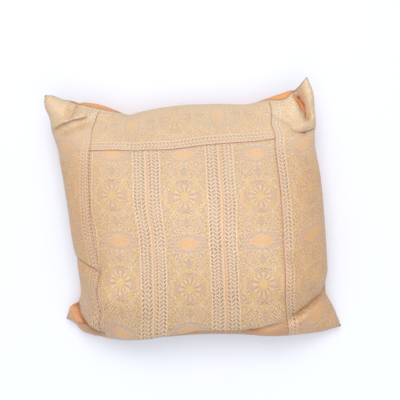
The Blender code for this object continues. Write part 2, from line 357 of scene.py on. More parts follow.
def insideOutline(x, y, outline):
    # How far inside a closed outline each place is; below nothing outside it.
    inside = np.zeros(x.shape, dtype=bool)
    away = np.full(x.shape, 1e9)
    for (x0, y0), (x1, y1) in zip(outline, outline[1:] + outline[:1]):
        dx, dy = x1 - x0, y1 - y0
        held = np.clip(((x - x0) * dx + (y - y0) * dy) / (dx * dx + dy * dy), 0, 1)
        away = np.minimum(away, np.hypot(x - x0 - held * dx, y - y0 - held * dy))
        if dy != 0:
            crossing = x0 + (y - y0) * dx / dy
            inside ^= ((y0 > y) != (y1 > y)) & (x < crossing)
    return np.where(inside, away, -away)


def bulgeHeights(x, y):
    height = np.zeros_like(x)
    for atX, atY, radius, rise in bulges.values():
        height += rise * np.exp(-((x - atX) ** 2 + (y - atY) ** 2) / radius**2)
    return height


def lapShare(lap, along):
    rows = np.array(laps[lap], dtype=float)
    return smoothCurve(along, rows[:, 0], rows[:, 1]) / cover["size"]


def rimDistance(across, up):
    return np.minimum(np.minimum(across, 1 - across), np.minimum(up, 1 - up))


def coverPoints(across, up, face):
    # Where each point of the flat cover lies on the filled cushion, for the front (1) or the back (-1).
    xAngle = sectionAngles(across, up, "left", "right", cover["halfWidths"][0], cover["halfHeights"][0], face)
    yAngle = sectionAngles(up, across, "bottom", "top", cover["halfWidths"][1], cover["halfHeights"][1], face)
    p = (1 - np.cos(xAngle)) / 2
    q = (1 - np.cos(yAngle)) / 2
    x, y = planPlace(p, q)
    level = levelPlace(p, q)
    swell = (np.abs(np.sin(xAngle)) * np.abs(np.sin(yAngle))) ** cover["fullness"]
    turned = (np.sin(xAngle) * face < 0) | (np.sin(yAngle) * face < 0)
    above = (face > 0) ^ turned
    rows = np.array(crown, dtype=float)
    crownHeight = smoothCurve(q, rows[:, 0], rows[:, 1])
    rim = rimDistance(across, up)
    turnedIn = ease(rim / cover["backTurnIn"]) * (face < 0)
    depth = cover["seamDepth"] + (cover["backDepth"] - cover["seamDepth"]) * turnedIn
    z = np.where(above, level + crownHeight * swell, level * (1 - depth * swell)) + foldHeights(x, y)
    if face > 0:
        z = z + bulgeHeights(x, y) * ease(rim / cover["bulgeFade"])
        z = np.maximum(z, cover["thinnest"] * ease(rim / cover["thinFade"]))
    return np.stack((x, y, np.maximum(z, 0)), axis=-1)


def sheetGrid(columns, rows):
    # The grid's lines bend to follow the lapped edges.
    low, high = lapLines
    across, up = np.meshgrid(columns, rows)
    left, right = lapShare("left", up), lapShare("right", up)
    inside = left + (across - low) * (right - left) / (high - low)
    outside = 1 - (1 - across) * (1 - right) / (1 - high)
    across = np.where(across < low, across * left / low, np.where(across > high, outside, inside))
    top = lapShare("top", across)
    up = np.where(up > high, 1 - (1 - up) * (1 - top) / (1 - high), up * top / high)
    return across, up


def gridLines(stretches, edges):
    # Even lines between 0, the laps and 1, with the lap's own lines in place of those near it.
    clear = 0.002
    stops = [0.0] + [at for at, _, _ in edges] + [1.0]
    lines = set()
    for (start, end), cells in zip(zip(stops, stops[1:]), stretches):
        lines.update(np.linspace(start, end, cells + 1).round(9))
    for at, towardsUpper, size in edges:
        offsets = [towardsUpper * row[0] * size for row in lapProfile]
        low, high = at + min(offsets), at + max(offsets)
        lines = {line for line in lines if not low - clear < line < high + clear}
        lines.update(round(at + offset, 9) for offset in offsets)
    return np.array(sorted(lines))


# How the filling lets the cloth out. The cap and restsBelow are in millimetres, and sideways is the share
# that is kept of moves in plan.
filling = {
    "cells": 84,
    "pressure": 4.0,
    "frames": 20,
    "slack": 0.012,
    "mass": 0.3,
    "stretch": 15,
    "shear": 5,
    "bend": 0.5,
    "rimHold": 0.6,
    "rimReach": 0.06,
    "restsBelow": 0.5,
    "cap": 4.0,
    "sideways": 0.3,
}
# Points nearer than this, in metres, are joined.
joinedWithin = 1e-5


def weldedSheets(name, points):
    # Two square sheets of cloth, front and back, joined along the rim.
    sheets = bmesh.new()
    rows, columns = points[0].shape[:2]
    for face, places in enumerate(points):
        made = bmesh.ops.create_grid(sheets, x_segments=columns - 1, y_segments=rows - 1, size=1)
        for vertex in made["verts"]:
            column = round((vertex.co.x + 1) / 2 * (columns - 1))
            row = round((vertex.co.y + 1) / 2 * (rows - 1))
            vertex.co = places[row, column] * mm
        if face == 1:
            bmesh.ops.reverse_faces(sheets, faces=sheets.faces[-(rows - 1) * (columns - 1):])
    mesh = bpy.data.meshes.new(name)
    sheets.to_mesh(mesh)
    sheets.free()
    return mesh


def relaxedMoves():
    # Blender's Cloth with air pressure fills a coarser copy of the cover, and its moves go to the fine one.
    cells = filling["cells"]
    lines = np.linspace(0, 1, cells + 1)
    across, up = np.meshgrid(lines, lines)
    start = [coverPoints(across, up, face) for face in (1, -1)]
    count = (cells + 1) ** 2
    work = bmesh.new()
    mesh = weldedSheets("fillingCloth", start)
    work.from_mesh(mesh)
    work.verts.ensure_lookup_table()
    order = work.verts.layers.int.new("order")
    for vertex in work.verts:
        vertex[order] = vertex.index
    bmesh.ops.remove_doubles(work, verts=work.verts, dist=joinedWithin)
    work.to_mesh(mesh)
    work.free()
    cloth = addObject("fillingCloth", mesh)
    kept = np.zeros(len(mesh.vertices), dtype=int)
    mesh.attributes["order"].data.foreach_get("value", kept)
    rim = np.concatenate([rimDistance(across, up).ravel()] * 2)[kept]
    height = np.concatenate([places[..., 2].ravel() for places in start])[kept]
    held = cloth.vertex_groups.new(name="held")
    for index, (away, level) in enumerate(zip(rim, height)):
        fixed = away < 1e-6 or level < filling["restsBelow"]
        weight = 1.0 if fixed else float(filling["rimHold"] * (1 - ease(away / filling["rimReach"])))
        if weight > 0:
            held.add([index], weight, "REPLACE")
    swell = cloth.modifiers.new("filling", "CLOTH")
    settings = swell.settings
    settings.quality = 5
    settings.mass = filling["mass"]
    settings.tension_stiffness = settings.compression_stiffness = filling["stretch"]
    settings.shear_stiffness = filling["shear"]
    settings.bending_stiffness = filling["bend"]
    settings.use_pressure = True
    settings.uniform_pressure_force = filling["pressure"]
    settings.effector_weights.gravity = 0
    settings.vertex_group_mass = "held"
    settings.pin_stiffness = 1
    settings.shrink_min = -filling["slack"]
    swell.collision_settings.use_collision = False
    swell.collision_settings.use_self_collision = False
    scene = bpy.context.scene
    for step in range(1, filling["frames"] + 1):
        scene.frame_set(step)
    filled = cloth.evaluated_get(bpy.context.evaluated_depsgraph_get()).to_mesh()
    after = np.zeros(len(filled.vertices) * 3)
    filled.vertices.foreach_get("co", after)
    unfilled = np.zeros(len(mesh.vertices) * 3)
    mesh.vertices.foreach_get("co", unfilled)
    moved = (after - unfilled).reshape(-1, 3) / mm
    far = np.linalg.norm(moved, axis=1, keepdims=True)
    print("filling: moved", moved.shape[0], "points, mean", far.mean().round(2), "most", far.max().round(2))
    moved *= np.minimum(1, filling["cap"] / np.maximum(far, 1e-6))
    moved *= np.array((filling["sideways"], filling["sideways"], 1))
    moves = np.zeros((2 * count, 3))
    moves[kept] = moved
    scene.frame_set(1)
    bpy.data.objects.remove(cloth, do_unlink=True)
    bpy.data.meshes.remove(mesh)
    return lines, [part.reshape(cells + 1, cells + 1, 3) for part in (moves[:count], moves[count:])]


def movesAt(lines, moves, across, up):
    # The coarse cloth's moves read at the fine grid's places.
    cells = len(lines) - 1
    column = np.clip((across * cells).astype(int), 0, cells - 1)
    row = np.clip((up * cells).astype(int), 0, cells - 1)
    s, t = (across * cells - column)[..., None], (up * cells - row)[..., None]
    low = moves[row, column] * (1 - s) + moves[row, column + 1] * s
    high = moves[row + 1, column] * (1 - s) + moves[row + 1, column + 1] * s
    return low * (1 - t) + high * t


# How the strips are sewn down: the thread's pull on the edge, and the groove beside it.
lapSewing = {
    "pull": 0.35,
    "shortWave": 2.9,
    "longWave": 13.0,
    "pullReach": 5,
    "leftWhereCovered": 0.2,
    "grooveAt": 0.9,
    "grooveWide": 1.1,
}


def lapShape(offset):
    rows = np.array(lapProfile[::-1])
    return np.interp(offset, rows[:, 0], rows[:, 1]), np.interp(offset, rows[:, 0], rows[:, 2])


def addLaps(points, across, up):
    # Raises the strips over what they cover, each edge folded under and pressed down by its stitching.
    size = cover["size"]
    rim = ease(rimDistance(across, up) / cover["rimFade"])
    fromLeft = (lapShare("left", up) - across) * size
    fromRight = (across - lapShare("right", up)) * size
    fromTop = (up - lapShare("top", across)) * size
    # The side strips cover the ends of the top one.
    covered = past(np.maximum(fromLeft, fromRight), -1, 3)
    keepTop = rim * (1 - (1 - lapSewing["leftWhereCovered"]) * covered)
    groove = np.zeros_like(across)
    for offset, run, alongX, alongY, keep, shown in (
        (fromLeft, up * size, 1, 0, rim, 1.0),
        (fromRight, up * size, -1, 0, rim, 1.0),
        (fromTop, across * size, 0, -1, keepTop, 1 - covered),
    ):
        push, height = lapShape(offset)
        waves = np.sin(run / lapSewing["shortWave"]) * np.sin(run / lapSewing["longWave"] + 1)
        height = height + lapSewing["pull"] * waves * around(offset, 0, lapSewing["pullReach"])
        points[..., 0] -= push * alongX * keep
        points[..., 1] -= push * alongY * keep
        points[..., 2] += height * keep
        sunk = around(offset, -lapSewing["grooveAt"], lapSewing["grooveWide"])
        groove = np.maximum(groove, sunk * keep * shown)
    return groove


# The small gathers along the rim, and where the wave of each side starts.
gathers = {
    "spacing": 17.0,
    "reach": 26.0,
    "height": 1.1,
    "endFade": 40,
    "starts": {"left": 0.0, "right": 1.7, "bottom": 3.1, "top": 4.4},
}


def seamPuckers(points, across, up, face):
    # The cloth is drawn in along the rim by its stitches, in small uneven gathers.
    size = cover["size"]
    for side, (away, along) in {
        "left": (across, up),
        "right": (1 - across, up),
        "bottom": (up, across),
        "top": (1 - up, across),
    }.items():
        start = gathers["starts"][side]
        run = along * size / gathers["spacing"] * 2 * np.pi
        uneven = 0.6 + 0.4 * np.sin(run * 0.23 + 2 * start)
        wave = np.sin(run + start + 0.9 * np.sin(run * 0.37 + start)) * uneven
        depth = gathers["height"] * ease(away * size / 4) * around(away * size, 0, gathers["reach"])
        ends = ease(np.minimum(along, 1 - along) * size / gathers["endFade"])
        points[..., 2] += wave * depth * ends * face


# Where each cut piece lies in the woven cloth: which way it runs and how far a flower column is from its edge.
cutPieces = {
    "centre": {"columnAt": 260.4, "rowAt": 260},
    "top": {"columnFromEdge": 53.5, "rowAt": 190, "stretch": 1.05},
    "left": {"columnFromEdge": 57.5, "rowAt": 271},
    "right": {"columnFromEdge": 53.5, "rowAt": 262},
}


# How the filling draws the cloth of the pieces, in millimetres of the flat cover. Where two numbers say where
# a pull sets in, they are its start and the length over which it grows. up, upOver and down have one number
# for the sides and one that is added in the middle column.
pulls = {
    "skew": 0.071,
    "skewFrom": 250,
    "right": 10,
    "rightBelow": (325, 65),
    "back": 12.5,
    "backFrom": (140, 200),
    "lowLeft": 10,
    "lowLeftBelow": (185, 60),
    "lowLeftEdge": (220, 100),
    "middleColumn": (260, 60),
    "up": (13, -8),
    "upOver": (56, 10),
    "down": (8, -16),
    "downFrom": (60, 65),
    "tiltLeft": 5,
    "tiltLeftEdge": (210, 60),
    "tiltLeftAbove": (190, 50),
    "tiltRight": 4.7,
    "tiltRightEdge": (330, 50),
    "tiltRightAround": (260, 40),
    "tiltRightBack": 2.9,
    "tiltRightBackAbove": (300, 60),
    "topEdge": 8,
    "topEdgeFrom": (24, 45),
    "hidden": 62,
    "hiddenAbove": (447, 8),
    "hiddenSlope": 0.87,
    "hiddenFrom": 22,
}


def drawnCentre(x, y):
    # How far the centre panel's cloth is drawn to the right and upwards at each place of the flat cover.
    right = pulls["skew"] * (y - pulls["skewFrom"])
    lower = pulls["right"] - pulls["back"] * past(x, *pulls["backFrom"])
    right = right + lower * before(y, *pulls["rightBelow"])
    right = right + pulls["lowLeft"] * before(y, *pulls["lowLeftBelow"]) * before(x, *pulls["lowLeftEdge"])
    below = cutPieces["centre"]["rowAt"] - y
    middle = around(x, *pulls["middleColumn"])
    up, upOver, down = (pulls[name][0] + pulls[name][1] * middle for name in ("up", "upOver", "down"))
    upwards = up * ease(below / upOver) - down * past(below, *pulls["downFrom"])
    tiltLeft = pulls["tiltLeft"] * before(x, *pulls["tiltLeftEdge"])
    upwards = upwards + tiltLeft * past(y, *pulls["tiltLeftAbove"])
    tiltRight = pulls["tiltRight"] * around(y, *pulls["tiltRightAround"])
    tiltRight = tiltRight - pulls["tiltRightBack"] * past(y, *pulls["tiltRightBackAbove"])
    return right, upwards + past(x, *pulls["tiltRightEdge"]) * tiltRight


def clothPlaces(across, up, piece):
    size = cover["size"]
    x, y = across * size, up * size
    lies = cutPieces[piece]
    if piece == "centre":
        right, upwards = drawnCentre(x, y)
        return x - lies["columnAt"] - right, y - lies["rowAt"] - upwards
    if piece == "top":
        fromEdge = y - lapShare("top", across) * size
        fromEdge = fromEdge - pulls["topEdge"] * past(fromEdge, *pulls["topEdgeFrom"])
        return fromEdge - lies["columnFromEdge"], (x - lies["rowAt"]) / lies["stretch"]
    fromEdge = (across - lapShare(piece, up)) * size
    if piece == "left":
        fromEdge = -fromEdge
        # The fold below the top left corner hides part of a repeat.
        fold = y - pulls["hiddenSlope"] * (x - pulls["hiddenFrom"])
        y = y + pulls["hidden"] * past(fold, *pulls["hiddenAbove"])
    return fromEdge - lies["columnFromEdge"], y - lies["rowAt"]


def buildCover():
    size = cover["size"]
    edges = [(lapLines[0], -1, 1 / size), (lapLines[1], 1, 1 / size)]
    cells = cover["gridCells"]
    columns = gridLines((cells["left"], cells["middle"], cells["right"]), edges)
    rows = gridLines((cells["below"], cells["above"]), edges[1:])
    across, up = sheetGrid(columns, rows)
    lines, moves = relaxedMoves()
    rim = rimDistance(across, up)
    points, grooves, creaseShadeMasks = [], [], []
    for face, moved in ((-1, moves[1]), (1, moves[0])):
        places = coverPoints(across, up, face) + movesAt(lines, moved, across, up)
        seamPuckers(places, across, up, face)
        grooves.append(np.zeros_like(across))
        creaseShadeMasks.append(np.zeros_like(across))
        if face > 0:
            grooves[-1] = addLaps(places, across, up)
            creaseShadeMasks[-1] = rollOver(places, rim)
            above = points[0][..., 2] + cover["frontAboveBack"] * ease(rim / cover["rimFade"])
            nearRim = rim < cover["nearRim"]
            places[..., 2] = np.where(nearRim, np.maximum(places[..., 2], above), places[..., 2])
        places[..., 2] = np.maximum(places[..., 2], 0)
        points.append(places)
    points, grooves, creaseShadeMasks = points[::-1], grooves[::-1], creaseShadeMasks[::-1]
    plain = np.concatenate([coverPoints(across, up, face).reshape(-1, 3) for face in (1, -1)])
    middle = (plain.min(axis=0) + plain.max(axis=0)) / 2
    for places in points:
        places[..., :2] -= middle[:2]
    mesh = weldedSheets("cushionCover", points)
    print("cover: grid of", across.shape, "middle", middle.round(2))

    # Which cut piece each face is of, and its place in the woven cloth.
    rowCount, columnCount = across.shape
    inCells = (rowCount - 1) * (columnCount - 1)
    corner = np.zeros(len(mesh.loops), dtype=int)
    mesh.loops.foreach_get("vertex_index", corner)
    flatAcross = np.concatenate([across.ravel()] * 2)
    flatUp = np.concatenate([up.ravel()] * 2)
    cornerAcross = flatAcross[corner].reshape(-1, 4)
    cornerUp = flatUp[corner].reshape(-1, 4)
    faceAcross, faceUp = cornerAcross.mean(axis=1), cornerUp.mean(axis=1)
    edge = 0.3 / size
    isLeft = faceAcross < lapShare("left", faceUp) + edge
    isRight = faceAcross > lapShare("right", faceUp) - edge
    isTop = (faceUp > lapShare("top", faceAcross) - edge) & ~isLeft & ~isRight
    uv = np.zeros((len(mesh.polygons), 4, 2))
    isCentre = ~isLeft & ~isRight & ~isTop
    for piece, chosen in {"left": isLeft, "right": isRight, "top": isTop, "centre": isCentre}.items():
        u, v = clothPlaces(cornerAcross[chosen], cornerUp[chosen], piece)
        uv[chosen, :, 0], uv[chosen, :, 1] = u * mm, v * mm
    isBack = np.arange(len(mesh.polygons)) >= inCells
    uv[isBack, :, 0] = cornerAcross[isBack] * size * mm
    uv[isBack, :, 1] = cornerUp[isBack] * size * mm
    clothMap = mesh.uv_layers.new(name="cloth")
    clothMap.data.foreach_set("uv", uv.ravel())
    mesh.polygons.foreach_set("material_index", isBack.astype(np.int32))
    flat = (across * size, up * size)
    back = np.max([insideOutline(*flat, outline) for outline in turnedBack.values()], axis=0)
    for name, values in {
        "turnedBack": np.concatenate((back.ravel(), back.ravel())),
        "paintedRollShadeArea": np.concatenate([insideOutline(*flat, paintedRollShadeArea).ravel()] * 2),
        "groove": np.concatenate([layer.ravel() for layer in grooves]),
        "creaseShadeMask": np.concatenate([layer.ravel() for layer in creaseShadeMasks]),
        "fromRim": np.concatenate([rim.ravel()] * 2) * size,
    }.items():
        layer = mesh.attributes.new(name, "FLOAT", "POINT")
        layer.data.foreach_set("value", values.astype(np.float32))

    joined = bmesh.new()
    joined.from_mesh(mesh)
    rimPoints = [vertex for vertex in joined.verts if vertex.is_boundary]
    bmesh.ops.remove_doubles(joined, verts=rimPoints, dist=joinedWithin)
    bmesh.ops.recalc_face_normals(joined, faces=joined.faces)
    openEdges = sum(edge.is_boundary for edge in joined.edges)
    joined.to_mesh(mesh)
    joined.free()
    mesh.shade_smooth()
    print("cover:", len(mesh.polygons), "faces, open edges", openEdges)
    return addObject("cushionCover", mesh), middle, points[0]


# The small stitches that close the rim, over the edge from back to front.
stitches = {
    "spacing": 5.2,
    "length": 3.6,
    "thickness": 0.9,
    "inside": 0.7,
    "slant": 25,
    "slantDrift": 12,
    "spacingDrift": 0.12,
    "thread": (122, 110, 82),
    "threadShade": (90, 78, 56),
    "rough": 0.7,
}


def buildStitches(front):
    size = front.shape
    rows, columns = np.arange(size[0]), np.arange(size[1])
    ring = [(row, 0, row, 1) for row in rows[:-1]]
    ring += [(size[0] - 1, column, size[0] - 2, column) for column in columns[:-1]]
    ring += [(row, size[1] - 1, row, size[1] - 2) for row in rows[:0:-1]]
    ring += [(0, column, 1, column) for column in columns[:0:-1]]
    places = np.array([front[row, column] for row, column, _, _ in ring])
    inner = np.array([front[row, column] for _, _, row, column in ring])
    steps = np.linalg.norm(np.roll(places, -1, axis=0) - places, axis=1)
    along = np.concatenate(([0], np.cumsum(steps)))
    closed = np.vstack((places, places[:1]))
    inward = np.vstack((inner - places, inner[:1] - places[:1]))
    shape = bmesh.new()
    bmesh.ops.create_uvsphere(shape, u_segments=6, v_segments=5, radius=1)
    single = bpy.data.meshes.new("stitch")
    shape.to_mesh(single)
    shape.free()
    thread = bmesh.new()
    count = int(along[-1] / stitches["spacing"])
    for number in range(count):
        at = (number + 0.5 + stitches["spacingDrift"] * math.sin(number * 1.7)) * along[-1] / count
        place, ahead = (
            Vector([np.interp(at + step, along, closed[:, k]) for k in range(3)]) for step in (0, 2)
        )
        away = Vector([np.interp(at, along, inward[:, k]) for k in range(3)]).normalized()
        forward = (ahead - place).normalized()
        angle = math.radians(stitches["slant"] + stitches["slantDrift"] * math.sin(number * 2.3))
        lengthways = (away * math.cos(angle) + forward * math.sin(angle)).normalized()
        flat = lengthways.cross(forward).normalized()
        turn = Matrix((lengthways, flat.cross(lengthways), flat)).transposed().to_4x4()
        halfThick = stitches["thickness"] / 2
        sized = Matrix.Diagonal((stitches["length"] / 2, halfThick, halfThick, 1))
        where = Matrix.Translation((place + away * stitches["inside"]) * mm)
        first = len(thread.verts)
        thread.from_mesh(single)
        thread.verts.ensure_lookup_table()
        lie = where @ turn @ Matrix.Scale(mm, 4) @ sized
        bmesh.ops.transform(thread, matrix=lie, verts=thread.verts[first:])
    bpy.data.meshes.remove(single)
    low = min(vertex.co.z for vertex in thread.verts)
    bmesh.ops.recalc_face_normals(thread, faces=thread.faces)
    mesh = bpy.data.meshes.new("rimStitches")
    thread.to_mesh(mesh)
    thread.free()
    mesh.shade_smooth()
    print("stitches:", count, "of", len(mesh.polygons), "faces, lowest", round(low / mm, 2))
    piece = addObject("rimStitches", mesh)
    material, tree, shader = newMaterial("stitchThread")
    place = tree.nodes.new("ShaderNodeTexCoord").outputs["Object"]
    twist, _ = noiseWire(tree, place, 900.0, 2.0, 0.6)
    light, dark = paint(*stitches["thread"]), paint(*stitches["threadShade"])
    colour = layer(tree, light, dark, (twist - 0.5).inside(0.2), 0.5)
    tree.links.new(colour, shader.inputs["Base Color"])
    shader.inputs["Roughness"].default_value = stitches["rough"]
    mesh.materials.append(material)
    return piece


def paint(red, green, blue):
    # A screen colour, 0 to 255, as the shader's own kind of colour.
    shares = [part / 255 for part in (red, green, blue)]
    shares = [part / 12.92 if part <= 10 / 255 else ((part + 0.055) / 1.055) ** 2.4 for part in shares]
    return (*shares, 1)


def newMaterial(name):
    material = bpy.data.materials.new(name)
    material.use_nodes = True
    return material, material.node_tree, material.node_tree.nodes["Principled BSDF"]


def shaderGroup(name, takes, gives):
    tree = bpy.data.node_groups.new(name, "ShaderNodeTree")
    for way, sockets in (("INPUT", takes), ("OUTPUT", gives)):
        for socket, kind in sockets.items():
            tree.interface.new_socket(socket, in_out=way, socket_type="NodeSocket" + kind)
    return tree, tree.nodes.new("NodeGroupInput").outputs, tree.nodes.new("NodeGroupOutput").inputs


class wire:
    # A shader value that ordinary arithmetic works on: each step adds one Math node.
    def __init__(self, tree, socket):
        self.tree, self.socket = tree, socket

    def step(self, operation, *others):
        node = self.tree.nodes.new("ShaderNodeMath")
        node.operation = operation
        for place, value in zip(node.inputs, (self, *others)):
            if isinstance(value, wire):
                self.tree.links.new(value.socket, place)
            else:
                place.default_value = value
        return wire(self.tree, node.outputs[0])

    def __add__(self, other):
        return self.step("ADD", other)

    def __radd__(self, other):
        return self.step("ADD", other)

    def __sub__(self, other):
        return self.step("SUBTRACT", other)

    def __rsub__(self, other):
        return self.step("MULTIPLY", -1.0).step("ADD", other)

    def __mul__(self, other):
        return self.step("MULTIPLY", other)

    def __rmul__(self, other):
        return self.step("MULTIPLY", other)

    def __truediv__(self, other):
        return self.step("DIVIDE", other)

    def __pow__(self, other):
        return self.step("POWER", other)

    def __abs__(self):
        return self.step("ABSOLUTE")

    def least(self, other):
        return self.step("MINIMUM", other)

    def most(self, other):
        return self.step("MAXIMUM", other)

    def wave(self, length):
        return (self * (2 * math.pi / length)).step("SINE")

    def inside(self, soft=0.3):
        # 1 where the value is well above nothing, 0 where it is well below, with a soft edge between.
        node = self.tree.nodes.new("ShaderNodeMapRange")
        node.interpolation_type = "SMOOTHSTEP"
        node.inputs["From Min"].default_value = -soft
        node.inputs["From Max"].default_value = soft
        self.tree.links.new(self.socket, node.inputs["Value"])
        return wire(self.tree, node.outputs["Result"])


def partWires(tree, vector):
    node = tree.nodes.new("ShaderNodeSeparateXYZ")
    tree.links.new(vector, node.inputs[0])
    return [wire(tree, socket) for socket in node.outputs]


def distance(x, y, atX, atY, wide=1.0, tall=1.0):
    return (((x - atX) / wide) ** 2 + ((y - atY) / tall) ** 2).step("SQRT")


def layer(tree, under, colour, mask, amount=1.0):
    # The colour laid over what is under it, as strongly as the mask and the amount say.
    node = tree.nodes.new("ShaderNodeMix")
    node.data_type = "RGBA"
    node.clamp_factor = True
    factor = mask * amount if amount != 1.0 else mask
    tree.links.new(factor.socket, node.inputs["Factor"])
    for place, value in (("A", under), ("B", colour)):
        socket = [s for s in node.inputs if s.name == place and s.type == "RGBA"][0]
        if isinstance(value, tuple):
            socket.default_value = value
        else:
            tree.links.new(value, socket)
    return [s for s in node.outputs if s.type == "RGBA"][0]


def noiseWire(tree, vector, scale, detail=2.0, rough=0.5):
    node = tree.nodes.new("ShaderNodeTexNoise")
    node.inputs["Scale"].default_value = scale
    node.inputs["Detail"].default_value = detail
    node.inputs["Roughness"].default_value = rough
    tree.links.new(vector, node.inputs["Vector"])
    return wire(tree, node.outputs["Fac"]), node.outputs["Color"]


# The woven pattern, in millimetres of cloth.
brocade = {
    "columnRepeat": 120.0,  # from flower column to flower column
    "rowRepeat": 140.0,  # from lozenge to lozenge
    "dashPitch": 5.8,
    "dashColumns": 6.9,  # from one row of dashes to the next
    "bandHalfWidth": 21.0,
    "bandShift": 1.5,  # the plain line stands this far to one side of its band's middle
    "drift": 3.0,
    "scrollWidth": 5.2,
    "slantWidth": 3.7,
    "hatchWidth": 3.3,
    "chequerWidth": 5.2,
    "streakWidth": 4.4,
    "lozengeHalfLength": 19.0,
    "lozengeHalfHeight": 7.6,
    "broadPetals": 8,
    "broadReach": 22.0,
    "narrowPetals": 12,
    "narrowReach": 18.0,
    "eyeRadius": 7.2,
    "dashHalfWidth": 1.65,
    "dashHalfLength": 2.3,
    "dashSlant": 0.95,
    "ground": paint(208, 179, 146),
    "gold": paint(224, 207, 138),
    "cream": paint(255, 247, 234),
    "pink": paint(229, 199, 176),
    "lilac": paint(199, 178, 176),
    "grey": paint(198, 184, 172),
    "brown": paint(152, 114, 86),
    "orange": paint(241, 202, 148),
    "deepOrange": paint(242, 182, 132),
    "bandGround": paint(230, 219, 211),
    "bandPale": paint(255, 249, 238),
    "dash": paint(84, 40, 24),
    "line": paint(226, 184, 146),
}
# Middles of the scrolls in each quarter of the repeat, from the lozenge's middle.
scrolls = ((9, 52), (24, 48), (14, 33), (29, 33), (22, 19), (32, 8), (26, 63), (9, 18), (33, 54))
# Buds and leaves: place, half width, half height, colour, strength.
buds = (
    (26, 42, 3.2, 3.4, "gold", 0.9),
    (11, 37, 2.6, 2.2, "gold", 0.9),
    (28, 21, 2.6, 4.6, "gold", 0.8),
    (11, 22, 2.2, 4.0, "pink", 0.8),
    (5, 16, 3.0, 1.6, "cream", 0.7),
    (22, 52, 3.6, 3.4, "gold", 0.9),
    (12, 48, 4.2, 1.5, "lilac", 0.8),
    (33, 62, 1.6, 5.0, "pink", 0.8),
)


